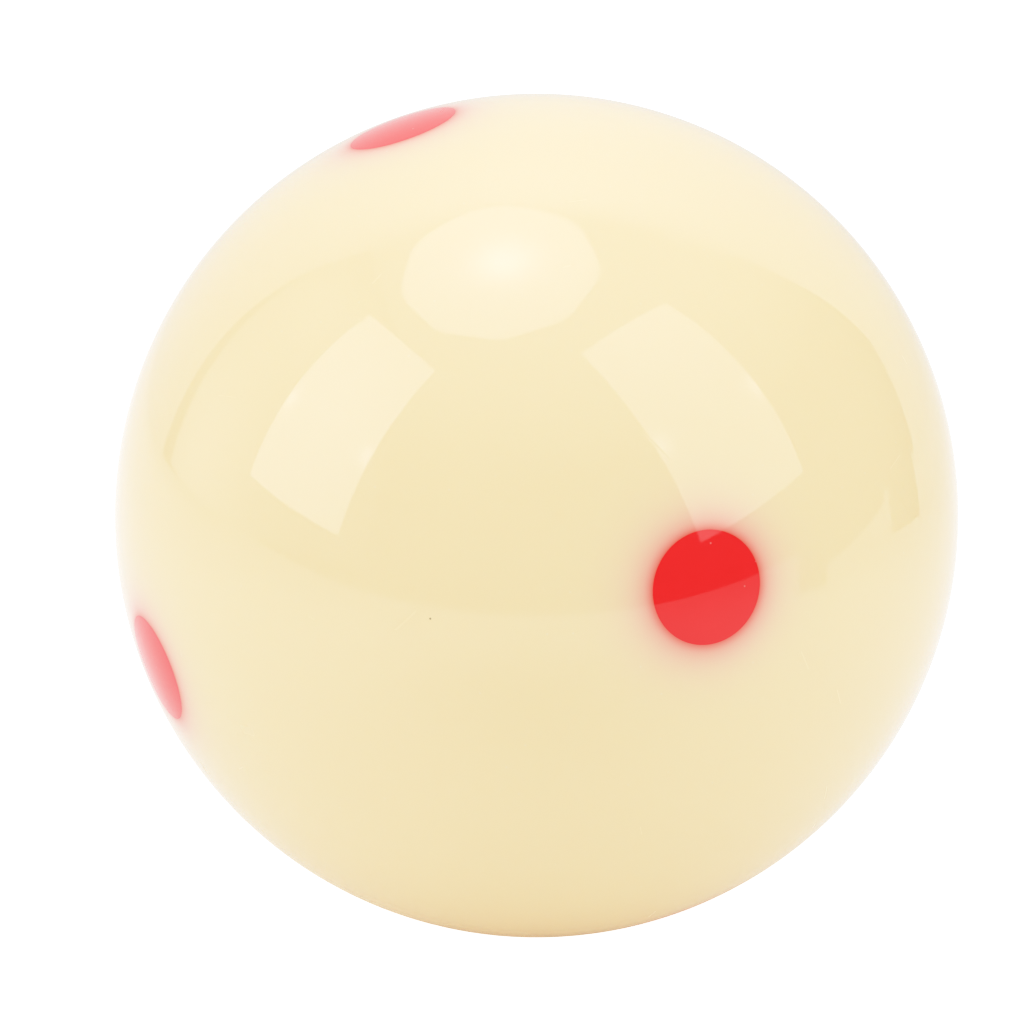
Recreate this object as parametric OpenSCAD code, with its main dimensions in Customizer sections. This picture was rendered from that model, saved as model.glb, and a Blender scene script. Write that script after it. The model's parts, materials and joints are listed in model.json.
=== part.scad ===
// Pool cue ball with six round spots, in millimetres.
//
// The ball is one casting of pale resin. Six blind pockets are drilled into it, one at each end of
// three axes that cross at right angles in its centre, and each pocket holds a plug of red resin.
// The drilling is only good to about a degree: the top and left pockets lean a little towards each
// other. The plugs are ground flush with the ball, so the outside is one unbroken sphere.
//
// The origin is the centre of the ball and +Z is up. The ball lies as it came to rest: its own up axis
// leans away from straight up, and its front spot is turned away from -Y.

/* [Ball] */
// Diameter of the ball
ball_d = 57.15; // [48:0.05:61.5]

/* [Spots] */
// Diameter of each spot
spot_d = 7.35; // [4:0.05:12]
// Depth of a plug, from the crown of the spot to the point of its pocket
spot_depth = 6; // [5:0.5:12]
// Angle that the drill's point leaves at the bottom of a pocket
drill_point = 118; // [100:1:140]
// How far the top pocket was drilled out of square, towards the left one
top_error = 1.4; // [-3:0.1:3]
// How far the left pocket was drilled out of square, towards the top one
left_error = 1; // [-3:0.1:3]

/* [Attitude] */
// Lean of the ball's own up axis to the left of straight up
lean = 17; // [-90:1:90]
// Turn of the ball about its own up axis
turn = 23.2; // [-180:0.2:180]

/* [Hidden] */

$fn = 192;

ball_r = ball_d / 2;
spot_r = spot_d / 2;
point_h = spot_r / tan(drill_point / 2);

// How far the drill's straight wall runs out past the surface of the ball
drill_clear = 1;

IVORY = [0.95, 0.90, 0.73];
RED = [0.87, 0.10, 0.12];

// Rotations that carry straight up to each spot, on the axes of the ball itself
TOP = [0, -top_error, 0];
BOTTOM = [180, 0, 0];
FRONT = [90, 0, 0];
BACK = [-90, 0, 0];
LEFT = [0, left_error - 90, 0];
RIGHT = [0, 90, 0];
SPOTS = [TOP, BOTTOM, FRONT, BACK, LEFT, RIGHT];

// Turns and leans the ball's own axes to the way the ball lies
module as_it_lies() {
    rotate([0, -lean, 0]) rotate([0, 0, turn]) children();
}

// The space one drill takes out: a cone at the bottom and a straight wall that leaves at the top
module drill() {
    tip_z = ball_r - spot_depth;
    end_z = ball_r + drill_clear;
    rotate_extrude()
        polygon([[0, tip_z], [spot_r, tip_z + point_h], [spot_r, end_z], [0, end_z]]);
}

// One plug: what the drill took out of the ball, under the same spherical surface
module plug(facing) {
    color(RED)
        as_it_lies()
            rotate(facing)
                intersection() {
                    drill();
                    sphere(r = ball_r);
                }
}

module ball_body() {
    color(IVORY)
        as_it_lies()
            difference() {
                sphere(r = ball_r);
                for (facing = SPOTS) rotate(facing) drill();
            }
}

module spot_top() {
    plug(TOP);
}

module spot_bottom() {
    plug(BOTTOM);
}

module spot_front() {
    plug(FRONT);
}

module spot_back() {
    plug(BACK);
}

module spot_left() {
    plug(LEFT);
}

module spot_right() {
    plug(RIGHT);
}

ball_body();
spot_top();
spot_bottom();
spot_front();
spot_back();
spot_left();
spot_right();
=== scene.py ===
"""The looks of the six-spot pool cue ball, in a small photo studio. Lengths are in metres.

The drilled ball and its six plugs are meshed again here, finer than the CAD model, at sizes and in
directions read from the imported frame. Both resins are procedural. The studio is a white table and
backdrop, two softboxes and an overhead octagonal softbox, a lit wall on the left and three black cards
on the right, in an otherwise dark room that the polished ball reflects. Even white light from all round
stands in for what the white surfaces scatter.
"""

import json
import math

import bmesh
import bpy
from mathutils import Matrix, Vector

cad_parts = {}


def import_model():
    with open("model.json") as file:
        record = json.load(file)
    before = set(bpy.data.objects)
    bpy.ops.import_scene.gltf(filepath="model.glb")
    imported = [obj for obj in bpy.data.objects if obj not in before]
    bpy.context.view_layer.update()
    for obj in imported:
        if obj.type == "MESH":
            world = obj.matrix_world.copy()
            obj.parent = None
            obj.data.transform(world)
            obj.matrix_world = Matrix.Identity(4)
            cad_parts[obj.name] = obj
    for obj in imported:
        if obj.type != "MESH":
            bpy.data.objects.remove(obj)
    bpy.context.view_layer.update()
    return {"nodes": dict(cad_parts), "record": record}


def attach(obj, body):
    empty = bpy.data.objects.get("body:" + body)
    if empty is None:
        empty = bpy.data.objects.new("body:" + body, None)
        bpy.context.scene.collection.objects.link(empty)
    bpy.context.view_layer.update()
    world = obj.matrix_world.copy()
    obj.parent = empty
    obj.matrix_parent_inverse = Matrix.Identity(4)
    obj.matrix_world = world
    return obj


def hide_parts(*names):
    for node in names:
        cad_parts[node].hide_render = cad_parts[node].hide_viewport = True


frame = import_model()

MM = 0.001
UP = Vector((0, 0, 1))


# What the frame says

# How near the full radius of a plug a point has to be to count as on its straight wall
ON_WALL = 0.01 * MM


def spot_axis(node):
    """Direction from the ball's centre to a spot, found from the plug's tip, its innermost point."""
    points = [v.co for v in frame["nodes"][node].data.vertices]
    return min(points, key=lambda p: p.length).normalized()


def plug_sizes(node):
    """Radius of a plug, and the heights of its tip and its shoulder above the ball's centre."""
    axis = spot_axis(node)
    points = [v.co for v in frame["nodes"][node].data.vertices]
    heights = [p.dot(axis) for p in points]
    radii = [(p - axis * h).length for p, h in zip(points, heights)]
    radius = max(radii)
    shoulder = min(h for h, r in zip(heights, radii) if r > radius - ON_WALL)
    return radius, min(heights), shoulder


# The row's own origin is the ball's centre, so its lowest point is a radius below it.
BALL_R = -frame["record"]["mounts"][0]["pos_m"][2]
SPOT_R, TIP_Z, SHOULDER_Z = plug_sizes("spot_front")
MOUTH_ANGLE = math.asin(SPOT_R / BALL_R)

# The ball's own axes run through its right and back spots and away from its bottom spot: the three
# that were drilled square.
OWN_AXES = [spot_axis("spot_right"), spot_axis("spot_back"), -spot_axis("spot_bottom")]
ATTITUDE = Matrix(OWN_AXES).transposed()

# Rotations from the ball's own +Z to each spot, as drilled without error
FACING = {
    "spot_top": Matrix.Identity(3),
    "spot_bottom": Matrix.Rotation(math.pi, 3, "X"),
    "spot_front": Matrix.Rotation(math.pi / 2, 3, "X"),
    "spot_back": Matrix.Rotation(-math.pi / 2, 3, "X"),
    "spot_left": Matrix.Rotation(-math.pi / 2, 3, "Y"),
    "spot_right": Matrix.Rotation(math.pi / 2, 3, "Y"),
}


def squared(node):
    """Rotation from +Z to where a spot would be if it were drilled square."""
    return ATTITUDE @ FACING[node]


def drilled(node):
    """Rotation from +Z to where a spot is."""
    square = squared(node)
    error = (square @ UP).rotation_difference(spot_axis(node))
    return error.to_matrix() @ square


# Meshes

# Steps around a spot, a multiple of 8 so that the corners of a patch fall on a step
AROUND = 144
PATCH_RINGS = 24
DOME_RINGS = 8
WALL_RINGS = 6
CONE_RINGS = 5
SHARP_EDGE = math.radians(30)
WELD = 0.001 * MM


def around():
    """The angles of the steps around a spot."""
    return [2 * math.pi * i / AROUND for i in range(AROUND)]


def shares(count):
    """Even shares from 0 to 1, both ends included."""
    return [i / count for i in range(count + 1)]


def on_ball(polar, angle):
    """The point of the sphere at an angle from +Z, and at an angle around it."""
    across = BALL_R * math.sin(polar)
    return Vector((across * math.cos(angle), across * math.sin(angle), BALL_R * math.cos(polar)))


def patch_edge(angle):
    """How far from +Z the edge of a cube's face lies on the sphere, at an angle around it."""
    return math.atan(1 / max(abs(math.cos(angle)), abs(math.sin(angle))))


def flat_ring(radius, height):
    """A ring of points about Z, or a single point on the axis where the radius is 0."""
    if radius == 0:
        return [Vector((0, 0, height))]
    return [Vector((radius * math.cos(a), radius * math.sin(a), height)) for a in around()]


def turned(rotation, rings):
    """Rings of points carried along by a rotation."""
    return [[rotation @ p for p in ring] for ring in rings]


def patch_rings(node):
    """A sixth of the sphere, from the square edge of the patch in to the mouth of its pocket."""
    edge = [squared(node) @ on_ball(patch_edge(a), a) for a in around()]
    mouth = [drilled(node) @ on_ball(MOUTH_ANGLE, a) for a in around()]
    return [
        [e.lerp(m, share).normalized() * BALL_R for e, m in zip(edge, mouth)]
        for share in shares(PATCH_RINGS)
    ]


def dome_rings():
    """The crown of a plug, from its middle out to its rim."""
    polars = [MOUTH_ANGLE * share for share in shares(DOME_RINGS)]
    return [flat_ring(BALL_R * math.sin(polar), BALL_R * math.cos(polar)) for polar in polars]


def pocket_rings():
    """The straight wall and the cone that the drill leaves, from below the mouth down to the tip."""
    mouth_z = BALL_R * math.cos(MOUTH_ANGLE)
    wall = [flat_ring(SPOT_R, mouth_z + (SHOULDER_Z - mouth_z) * s) for s in shares(WALL_RINGS)[1:]]
    cone = [
        flat_ring(SPOT_R * (1 - s), SHOULDER_Z + (TIP_Z - SHOULDER_Z) * s)
        for s in shares(CONE_RINGS)[1:]
    ]
    return wall + cone


def skin(bm, rings):
    """Joins each ring of points to the next with faces. A ring of one point is a pole."""
    made = [[bm.verts.new(p) for p in ring] for ring in rings]
    for ring, following in zip(made, made[1:]):
        for i in range(AROUND):
            j = (i + 1) % AROUND
            corners = [ring[i % len(ring)], ring[j % len(ring)]]
            corners += [following[j % len(following)], following[i % len(following)]]
            bm.faces.new(dict.fromkeys(corners))


def finish_mesh(bm, name):
    """Closes and smooths a mesh. Its polished faces get the normals of a true sphere."""
    bmesh.ops.remove_doubles(bm, verts=bm.verts, dist=WELD)
    bmesh.ops.recalc_face_normals(bm, faces=bm.faces)
    mesh = bpy.data.meshes.new(name)
    bm.to_mesh(mesh)
    bm.free()
    mesh.shade_smooth()
    mesh.set_sharp_from_angle(angle=SHARP_EDGE)
    normals = [Vector()] * len(mesh.loops)
    for face in mesh.polygons:
        points = [mesh.vertices[i].co for i in face.vertices]
        if all(p.length > BALL_R - WELD for p in points):
            for loop, point in zip(face.loop_indices, points):
                normals[loop] = point.normalized()
    mesh.normals_split_custom_set(normals)
    return mesh


def body_mesh():
    """The drilled ball: six patches of the sphere, each with a pocket in its middle."""
    bm = bmesh.new()
    for node in FACING:
        skin(bm, patch_rings(node) + turned(drilled(node), pocket_rings()))
    return finish_mesh(bm, "ball_body_skin")


def plug_mesh(node):
    """One plug, with its crown flush with the ball."""
    bm = bmesh.new()
    skin(bm, turned(drilled(node), dome_rings() + pocket_rings()))
    return finish_mesh(bm, node + "_skin")


def piece(mesh, node, material):
    """A visible piece that stands for a CAD node."""
    made = bpy.data.objects.new(mesh.name, mesh)
    bpy.context.scene.collection.objects.link(made)
    made.data.materials.append(material)
    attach(made, "root")
    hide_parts(node)
    return made


# Shader nodes

def add_node(tree, kind, inputs=(), **settings):
    """A shader node. inputs maps its sockets to what they take: a value, or another node's output."""
    made = tree.nodes.new("ShaderNode" + kind)
    for name, value in settings.items():
        setattr(made, name, value)
    for name, value in dict(inputs).items():
        if isinstance(value, bpy.types.NodeSocket):
            tree.links.new(value, made.inputs[name])
        else:
            made.inputs[name].default_value = value
    return made


def calc(tree, operation, *values):
    """The result of a Math node."""
    return add_node(tree, "Math", dict(enumerate(values)), operation=operation).outputs[0]


def remap(tree, value, low, high, to_low, to_high):
    """A value carried from one range to another, and held at its ends."""
    inputs = {"Value": value, "From Min": low, "From Max": high, "To Min": to_low, "To Max": to_high}
    return add_node(tree, "MapRange", inputs).outputs["Result"]


def new_material(name):
    """A material with an empty node tree, and that tree."""
    material = bpy.data.materials.new(name)
    material.use_nodes = True
    material.node_tree.nodes.clear()
    return material, material.node_tree


def finish_material(tree, shader):
    """Leads a shader to the surface of its material."""
    output = add_node(tree, "OutputMaterial")
    tree.links.new(shader.outputs[0], output.inputs["Surface"])


def place(tree):
    """Coordinates in the frame, or in a studio panel's own plane."""
    return add_node(tree, "TexCoord").outputs["Object"]


def noise(tree, feature, detail=2.0, seed=0.0):
    """Noise whose features are about the size given."""
    inputs = {"Vector": place(tree), "W": seed, "Scale": 1 / feature, "Detail": detail}
    return add_node(tree, "TexNoise", inputs, noise_dimensions="4D").outputs["Fac"]


# Most noise lies between these
NOISE_LOW, NOISE_HIGH = 0.3, 0.7


def mottle(tree, feature, detail, low, high, noise_low=NOISE_LOW):
    """A value that wanders between low and high over the surface, in features of about the size given."""
    return remap(tree, noise(tree, feature, detail), noise_low, NOISE_HIGH, low, high)


def dot(tree, vector, direction):
    """The part of a vector that lies along a direction."""
    inputs = {0: vector, 1: direction}
    return add_node(tree, "VectorMath", inputs, operation="DOT_PRODUCT").outputs["Value"]


# Where a Mix node that mixes colours has its two inputs and its output
MIX_FIRST, MIX_SECOND, MIXED = 6, 7, 2


def mixed_colour(tree, share, first, second, blend="MIX"):
    """Two colours mixed by a share, or blended in another way."""
    inputs = {0: share, MIX_FIRST: first, MIX_SECOND: second}
    return add_node(tree, "Mix", inputs, data_type="RGBA", blend_type=blend).outputs[MIXED]


def scaled_colour(tree, colour, factor):
    """A colour times a number, or times another colour."""
    return mixed_colour(tree, 1.0, colour, factor, blend="MULTIPLY")


# Wear, the same on both resins

PIT_SPACING = 6 * MM
PIT_RADIUS = 0.1 * MM
DUST_SPACING = 1.7 * MM
DUST_RADIUS = 0.08 * MM
# The part of a dot's radius inside which it is at full strength
DOT_CORE = 0.6

SCRATCH_DIRECTIONS = [(0.6, 0.64, 0.48), (-0.7, 0.1, 0.7), (0.3, -0.95, 0.1)]
SCRATCH_SPACING = 4 * MM
SCRATCH_LENGTH = 3 * MM
# A scratch is drawn where noise crosses its middle value: within the first of these it is at full
# strength, and past the second there is none
SCRATCH_CORE, SCRATCH_EDGE = 0.002, 0.005
# A second noise has to come this high for a scratch to start showing, and to show in full. It seldom
# does, so scratches are few.
SCRATCH_FAINT, SCRATCH_FULL = 0.71, 0.77


def dots(tree, spacing, radius):
    """1 on small round dots, where a cell's own point comes near the surface, and 0 elsewhere."""
    cells = add_node(tree, "TexVoronoi", {"Vector": place(tree), "Scale": 1 / spacing})
    edge = radius / spacing
    return remap(tree, cells.outputs["Distance"], edge * DOT_CORE, edge, 1.0, 0.0)


def scratches(tree):
    """1 on short hair-thin scratches that run in three directions, and 0 elsewhere."""
    drawn = 0.0
    for seed, direction in enumerate(SCRATCH_DIRECTIONS, start=1):
        across = {"W": dot(tree, place(tree), direction), "Scale": 1 / SCRATCH_SPACING, "Detail": 0.0}
        waves = add_node(tree, "TexNoise", across, noise_dimensions="1D").outputs["Fac"]
        off_line = calc(tree, "ABSOLUTE", calc(tree, "SUBTRACT", waves, 0.5))
        line = remap(tree, off_line, SCRATCH_CORE, SCRATCH_EDGE, 1.0, 0.0)
        chance = noise(tree, SCRATCH_LENGTH, detail=0.0, seed=seed)
        shown = remap(tree, chance, SCRATCH_FAINT, SCRATCH_FULL, 0.0, 1.0)
        drawn = calc(tree, "MAXIMUM", calc(tree, "MULTIPLY", line, shown), drawn)
    return drawn


# Resins

IVORY = (0.93, 0.717, 0.42, 1)
DUST = (0.85, 0.80, 0.72, 1)
RED = (0.885, 0.022, 0.022, 1)
RESIN_IOR = 1.5
# Roughness of the polish, clean and where it is smeared, and how much duller a mark is
CLEAN_POLISH = 0.024
SMEARED_POLISH = 0.048
MARK_DULLNESS = 0.25
SMEAR_SIZE = 9 * MM
GRIND_SIZE = 1.5 * MM
GRIND_DEPTH = 0.02 * MM
MARK_DEPTH = 0.01 * MM
CLOUD_SIZE = 12 * MM
PIGMENT_SIZE = 2 * MM
# What is left of a colour in a pit, in a cloud, and where the red pigment is thickest
PIT_SHADE = 0.35
CLOUD_SHADE = 0.985
PIGMENT_SHADE = 0.96
# How much of the colour under it a dust speck hides
DUST_COVER = 0.2
# How far light strays in each resin
IVORY_REACH = 1.0 * MM
RED_REACH = 0.3 * MM

# Painted glow around the spots, put into the ivory's colour for the red light that the resin carries out
# of the plugs: what it takes from each colour channel at a plug's edge, and how far into the ivory that
# reaches, in millimetres, for the broad glow and for a fine pink line right at the edge
PAINTED_GLOW = {"Red": (0.10, 2.5), "Green": (0.67, 1.15), "Blue": (0.61, 0.60)}
EDGE_LINE = (0.40, 0.15)


def gloss(tree, marks):
    """Roughness of the polish: a mirror gloss with faint smears from handling, and duller marks."""
    smears = mottle(tree, SMEAR_SIZE, 4.0, CLEAN_POLISH, SMEARED_POLISH, noise_low=0.35)
    return calc(tree, "ADD", smears, calc(tree, "MULTIPLY", marks, MARK_DULLNESS))


def relief(tree, marks):
    """The last trace of the grinding, and the depth of the marks."""
    grinding = {"Height": noise(tree, GRIND_SIZE), "Strength": 0.02, "Distance": GRIND_DEPTH}
    ground = add_node(tree, "Bump", grinding).outputs["Normal"]
    cut = {"Height": marks, "Strength": 0.3, "Distance": MARK_DEPTH, "Normal": ground}
    return add_node(tree, "Bump", cut, invert=True).outputs["Normal"]


def resin(name, colour, reach):
    """A polished cast resin. colour builds its colour, and reach is how far light strays in it."""
    material, tree = new_material(name)
    pits = dots(tree, PIT_SPACING, PIT_RADIUS)
    dust = dots(tree, DUST_SPACING, DUST_RADIUS)
    marks = calc(tree, "MAXIMUM", pits, scratches(tree))
    pitted = scaled_colour(tree, colour(tree), remap(tree, pits, 0.0, 1.0, 1.0, PIT_SHADE))
    inputs = {
        "Base Color": mixed_colour(tree, calc(tree, "MULTIPLY", dust, DUST_COVER), pitted, DUST),
        "Roughness": gloss(tree, marks),
        "Normal": relief(tree, marks),
        "IOR": RESIN_IOR,
        "Subsurface Weight": 0.15,
        "Subsurface Radius": (1.0, 0.6, 0.35),
        "Subsurface Scale": reach,
    }
    finish_material(tree, add_node(tree, "BsdfPrincipled", inputs))
    return material


def gap_from_spot(tree):
    """Distance along the ball from the edge of the nearest spot, in millimetres."""
    direction = add_node(tree, "VectorMath", {0: place(tree)}, operation="NORMALIZE").outputs[0]
    nearest = -1.0
    for node in FACING:
        nearest = calc(tree, "MAXIMUM", dot(tree, direction, spot_axis(node)), nearest)
    past_edge = calc(tree, "SUBTRACT", calc(tree, "ARCCOSINE", nearest), MOUTH_ANGLE)
    return calc(tree, "MAXIMUM", calc(tree, "MULTIPLY", past_edge, BALL_R / MM), 0.0)


def painted_glow_channel(tree, gap, strength, reach):
    """What is left of one colour channel near a spot, where the plug takes part of the light: painted
    glow, put into the ivory's colour.
    """
    fade = calc(tree, "EXPONENT", calc(tree, "MULTIPLY", gap, -1 / reach))
    return calc(tree, "SUBTRACT", 1.0, calc(tree, "MULTIPLY", fade, strength))


def ivory_colour(tree):
    """Ivory with faint clouds from the casting, and a painted pink glow around the red plugs for the red
    light that the resin carries out of them.
    """
    gap = gap_from_spot(tree)
    # The pink around the plugs is painted glow: red light put into the ivory's colour, strongest in a fine
    # line at the edge
    left_over = {channel: painted_glow_channel(tree, gap, *values) for channel, values in PAINTED_GLOW.items()}
    edge_line = painted_glow_channel(tree, gap, *EDGE_LINE)
    for channel in ("Green", "Blue"):
        left_over[channel] = calc(tree, "MULTIPLY", edge_line, left_over[channel])
    painted_glow = add_node(tree, "CombineColor", left_over).outputs[0]
    clouds = mottle(tree, CLOUD_SIZE, 3.0, CLOUD_SHADE, 1.0)
    return scaled_colour(tree, scaled_colour(tree, IVORY, painted_glow), clouds)


def red_colour(tree):
    """Red, with the pigment very slightly uneven."""
    return scaled_colour(tree, RED, mottle(tree, PIGMENT_SIZE, 3.0, PIGMENT_SHADE, 1.0))


# Studio

# Radiance of the even light from all round, and how much of it the table and the backdrop give back
FILL = 1.48
WHITE = 0.44
# Painted bounce light: the paper's colour under the ball, warmed for the light that the ball throws on it,
# and how far that reaches
PAINTED_BOUNCE = (0.72, 0.55, 0.34, 1)
BOUNCE_REACH = 0.018
# What the polish reflects of the unlit room, of its ceiling, and of the wall on the left
ROOM = 0.03
CEILING = 0.9
WALL = 0.25
# Heights on the unit sphere: how soft the horizon is, and where the ceiling starts and is full
HORIZON = 0.01
CEILING_LOW, CEILING_HIGH = 0.45, 0.9
# The camera sees the table and what is behind it as pure white
BEHIND = 2.0
TABLE_LIFT = 1.2

TABLE_FRONT = -0.215
TABLE_BACK = 0.6
TABLE_HALF_WIDTH = 1.5
BACKDROP_Y = 0.5
SOFTBOX_WIDTH = 0.6

# Painted light on the table and the backdrop, which they give off besides the even light, and painted
# shade where there is less of it, such as the ball's shadow under it. Each glow is a centre, a radius and
# a strength: on the table far behind the ball to the left, on both sides of the ball, beyond the right
# side, behind, in front and under the ball, and high on the backdrop.
CONTACT = (0, 0, -BALL_R)
STUDIO_GLOWS = [
    ((-0.2, 0.2, -BALL_R), 0.35, 0.38),
    ((-0.11, -0.03, -BALL_R), 0.1, 0.33),
    ((0.11, -0.03, -BALL_R), 0.1, 0.33),
    ((0.2, 0.05, -BALL_R), 0.1, -0.25),
    ((0, 0.12, -BALL_R), 0.1, 0.4),
    ((0, -0.1, -BALL_R), 0.06, -0.12),
    # Painted shadow of the ball where it touches the table
    (CONTACT, 0.02, -0.33),
    ((0, BACKDROP_Y, 1.2), 0.85, 1.5),
]
# The polish shows the table darker than that just in front of the ball.
DIM_FRONT = ((0, -0.065, -BALL_R), 0.04, -0.7)


def stage_mesh(name, points, material):
    """A flat polygon that belongs to the studio. Only light that leaves the ball towards it finds it."""
    mesh = bpy.data.meshes.new(name)
    mesh.from_pydata([tuple(p) for p in points], [], [range(len(points))])
    made = bpy.data.objects.new(name, mesh)
    bpy.context.scene.collection.objects.link(made)
    made.data.materials.append(material)
    material.cycles.emission_sampling = "NONE"
    return made


def only_reflected(made):
    """Keeps a studio panel out of everything but the reflections."""
    made.visible_camera = False
    made.visible_diffuse = False
    made.visible_shadow = False
    return made


def glow_spot(tree, centre, radius, strength, sharpness=2.0):
    """A soft round glow about a point of a panel. The sharper it is, the flatter its middle."""
    offset = add_node(tree, "VectorMath", {0: place(tree), 1: centre}, operation="SUBTRACT").outputs[0]
    distance = add_node(tree, "VectorMath", {0: offset}, operation="LENGTH").outputs["Value"]
    share = calc(tree, "DIVIDE", distance, radius)
    fade = calc(tree, "EXPONENT", calc(tree, "MULTIPLY", calc(tree, "POWER", share, sharpness), -1.0))
    return calc(tree, "MULTIPLY", fade, strength)


def glow_sum(tree, total, glows):
    """A strength plus a number of soft glows, each given as what glow_spot takes."""
    for glow in glows:
        total = calc(tree, "ADD", glow_spot(tree, *glow), total)
    return total


def glowing(name, strength, glows):
    """A surface that gives off light from its front only."""
    material, tree = new_material(name)
    backfacing = add_node(tree, "NewGeometry").outputs["Backfacing"]
    front = calc(tree, "SUBTRACT", 1.0, backfacing)
    lit = calc(tree, "MULTIPLY", front, glow_sum(tree, strength, glows))
    finish_material(tree, add_node(tree, "Emission", {"Strength": lit}))
    return material


def table_white():
    """Matt white that gives off painted studio light, with painted bounce light from the ball in its
    colour under the ball. The camera sees it brighter, as white as paper.
    """
    material, tree = new_material("table_white")
    # Painted bounce light: the paper is warmed in its colour near where the ball touches it
    bounce_share = glow_spot(tree, CONTACT, BOUNCE_REACH, 1.0)
    paper = mixed_colour(tree, bounce_share, (WHITE, WHITE, WHITE, 1), PAINTED_BOUNCE)
    matt = add_node(tree, "BsdfDiffuse", {"Color": paper})
    path = add_node(tree, "LightPath").outputs
    lift = calc(tree, "MULTIPLY", path["Is Camera Ray"], TABLE_LIFT)
    dimmed = calc(tree, "MULTIPLY", path["Is Glossy Ray"], glow_spot(tree, *DIM_FRONT))
    strength = calc(tree, "ADD", glow_sum(tree, lift, STUDIO_GLOWS), dimmed)
    glow = add_node(tree, "Emission", {"Strength": strength})
    finish_material(tree, add_node(tree, "AddShader", {0: matt.outputs[0], 1: glow.outputs[0]}))
    return material


def towards(azimuth, elevation):
    """Unit vector to a compass direction about the ball: azimuth 0 is the front, 90 the right."""
    a, e = math.radians(azimuth), math.radians(elevation)
    return Vector((math.sin(a) * math.cos(e), -math.cos(a) * math.cos(e), math.sin(e)))


def light_panel(name, outline, place_at, faces, roll, strength, glows):
    """A light panel: outline and glows are drawn in its own plane, and faces is the way it shines."""
    turn = faces.to_track_quat("Z", "Y").to_matrix() @ Matrix.Rotation(math.radians(roll), 3, "Z")
    panel = stage_mesh(name, [(x, y, 0) for x, y in outline], glowing(name + "_glow", strength, glows))
    panel.matrix_world = Matrix.Translation(place_at) @ turn.to_4x4()
    return only_reflected(panel)


def softbox(name, height, direction, distance, faces, roll, strength, glow):
    """A rectangular softbox on a stand, with the gleam of its reflector at both long edges."""
    half_w, half_h = SOFTBOX_WIDTH / 2, height / 2
    outline = [(-half_w, -half_h), (half_w, -half_h), (half_w, half_h), (-half_w, half_h)]
    gleam_x, gleam_y = 0.92 * half_w, -0.22 * half_h
    gleam_radius, gleam_strength = 0.045, 2.0
    gleams = [((x, gleam_y, 0), gleam_radius, gleam_strength) for x in (-gleam_x, gleam_x)]
    light_panel(name, outline, direction * distance, faces, roll, strength, gleams + [glow])


def octabox():
    """The octagonal softbox overhead. Its cloth dims at the rim, and is brightest about its flash tube."""
    radius = 0.465
    corners = [k * math.pi / 4 for k in range(8)]
    outline = [(radius * math.cos(a), radius * math.sin(a)) for a in corners]
    cloth_radius, cloth_strength, cloth_sharpness = 0.455, 2.8, 36.0
    cloth = ((0, 0, 0), cloth_radius, cloth_strength, cloth_sharpness)
    tube = (-0.043, 0.041, 0)
    glows = [cloth, (tube, 0.12, 3.1), (tube, 0.3, 0.9)]
    hangs_at = Vector((-0.18, -0.085, 1.1))
    light_panel("octabox", outline, hangs_at, faces=-UP, roll=0, strength=0.0, glows=glows)


def table():
    """The white table top, with its front edge a hand's breadth in front of the ball."""
    half = TABLE_HALF_WIDTH
    corners = [(-half, TABLE_FRONT), (half, TABLE_FRONT), (half, TABLE_BACK), (-half, TABLE_BACK)]
    stage_mesh("table_top", [(x, y, -BALL_R) for x, y in corners], table_white())


def backdrop():
    """White paper that hangs behind the table, a little wider towards its top."""
    outline = [
        (-0.76, -BALL_R), (0.70, -BALL_R), (0.64, 0.2), (0.80, 0.6), (0.92, 1.2), (0.90, 1.7),
        (0.5, 2.2), (-1.04, 2.2), (-0.97, 1.2), (-0.84, 0.5),
    ]
    corners = [(x, BACKDROP_Y, z) for x, z in outline]
    glow = glowing("backdrop_glow", WHITE * FILL, STUDIO_GLOWS)
    only_reflected(stage_mesh("backdrop", corners, glow))


def side_wall():
    """The wall of the room on the left, which the softboxes light in two broad pools."""
    x = -1.6
    front, back, top = -1.6, 0.87, 2.4
    corners = [(x, front, -BALL_R), (x, back, -BALL_R), (x, back, top), (x, front, top)]
    pools = [((x, 0.4, 0.2), 0.6, 0.9), ((x, 0.2, 1.5), 0.7, 0.7)]
    only_reflected(stage_mesh("side_wall", corners, glowing("side_wall_glow", WALL, pools)))


def flag(name, start, end):
    """A black card as high as the ball that stands on the table, from one point of it to another."""
    foot = [(x, y, -BALL_R) for x, y in (start, end)]
    top = [(x, y, BALL_R) for x, y in (end, start)]
    only_reflected(stage_mesh(name, foot + top, glowing(name + "_black", 0.0, [])))


def world():
    """What lies beyond. The camera sees it pure white, matt surfaces get even light from above the
    horizon, and the polish reflects a dark room with a paler ceiling."""
    made = bpy.data.worlds.new("studio")
    made.use_nodes = True
    # The light differs by the kind of ray, so only rays that leave a surface may find it.
    made.cycles.sampling_method = "NONE"
    tree = made.node_tree
    tree.nodes.clear()
    direction = add_node(tree, "TexCoord").outputs["Generated"]
    height = dot(tree, direction, UP)
    on_matt = remap(tree, height, -HORIZON, HORIZON, ROOM, FILL)
    in_polish = remap(tree, height, CEILING_LOW, CEILING_HIGH, ROOM, CEILING)
    path = add_node(tree, "LightPath").outputs
    found = remap(tree, path["Is Glossy Ray"], 0.0, 1.0, on_matt, in_polish)
    strength = remap(tree, path["Is Camera Ray"], 0.0, 1.0, found, BEHIND)
    sky = add_node(tree, "Background", {"Color": (1, 1, 1, 1), "Strength": strength})
    output = add_node(tree, "OutputWorld")
    tree.links.new(sky.outputs[0], output.inputs["Surface"])
    bpy.context.scene.world = made


# The camera: its lens and sensor in millimetres, its height above the table in degrees, its distance
# from the ball's centre, and the point that it aims at
LENS = 174.5
SENSOR_WIDTH = 36
CAMERA_HEIGHT = 17
CAMERA_DISTANCE = 11.8 * BALL_R
AIM = Vector((-1.66 * MM, 0, 0.24 * MM))


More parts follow.
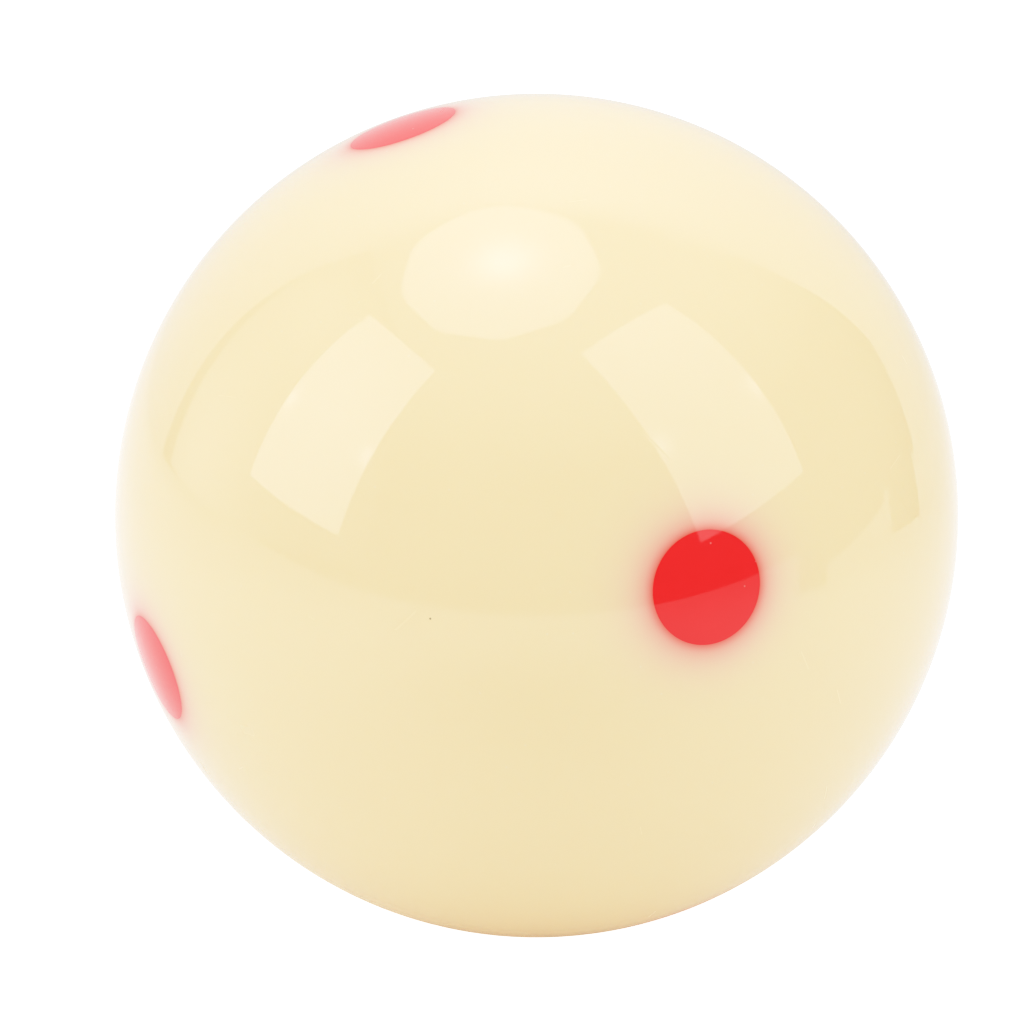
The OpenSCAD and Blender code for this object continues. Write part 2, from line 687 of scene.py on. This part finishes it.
def camera():
    """A long lens in front of the ball, which is a little right of the middle of its frame."""
    data = bpy.data.cameras.new("camera")
    data.sensor_width = SENSOR_WIDTH
    data.lens = LENS
    data.clip_start = 0.01
    data.clip_end = 10
    made = bpy.data.objects.new("camera", data)
    bpy.context.scene.collection.objects.link(made)
    stands_at = towards(0, CAMERA_HEIGHT) * CAMERA_DISTANCE
    turn = (AIM - stands_at).to_track_quat("-Z", "Y").to_matrix().to_4x4()
    made.matrix_world = Matrix.Translation(stands_at) @ turn
    bpy.context.scene.camera = made


# The light that the camera shows as pure white, and how it shows lesser light, as pairs of the light and
# what is shown: true up to two thirds, and held back more and more above, so that bright tones keep
# their colour
SENSOR_WHITE = 1.36
SHOULDER = [(0.3, 0.3), (0.66, 0.66), (0.856, 0.80), (1.016, 0.88), (1.116, 0.92), (1.276, 0.975)]


def camera_response():
    """The soft shoulder of a camera's own tone curve."""
    settings = bpy.context.scene.view_settings
    settings.view_transform = "Standard"
    settings.use_curve_mapping = True
    mapping = settings.curve_mapping
    mapping.white_level = [SENSOR_WHITE] * 3
    for light, shown in SHOULDER:
        mapping.curves[3].points.new(light / SENSOR_WHITE, shown)
    mapping.update()


ivory = resin("ball_resin_ivory", ivory_colour, IVORY_REACH)
red = resin("spot_resin_red", red_colour, RED_REACH)
piece(body_mesh(), "ball_body", ivory)
for spot in FACING:
    piece(plug_mesh(spot), spot, red)

table()
backdrop()
side_wall()
softbox(
    "softbox_left", height=0.92, direction=towards(-67, 33), distance=1.07, faces=towards(123, -16),
    roll=9.6, strength=2.7, glow=((0, 0, 0), 0.35, 0.7),
)
softbox(
    "softbox_right", height=0.96, direction=towards(58, 40.5), distance=0.93, faces=towards(-140, -17),
    roll=-14.8, strength=1.85, glow=((0, 0.48, 0), 0.55, 1.0),
)
octabox()
flag("flag_front", (0.155, -0.065), (0.165, -0.04))
flag("flag_side", (0.24, -0.065), (0.715, 0.2))
flag("flag_back", (0.225, 0.055), (0.18, 0.095))
world()
camera()
camera_response()
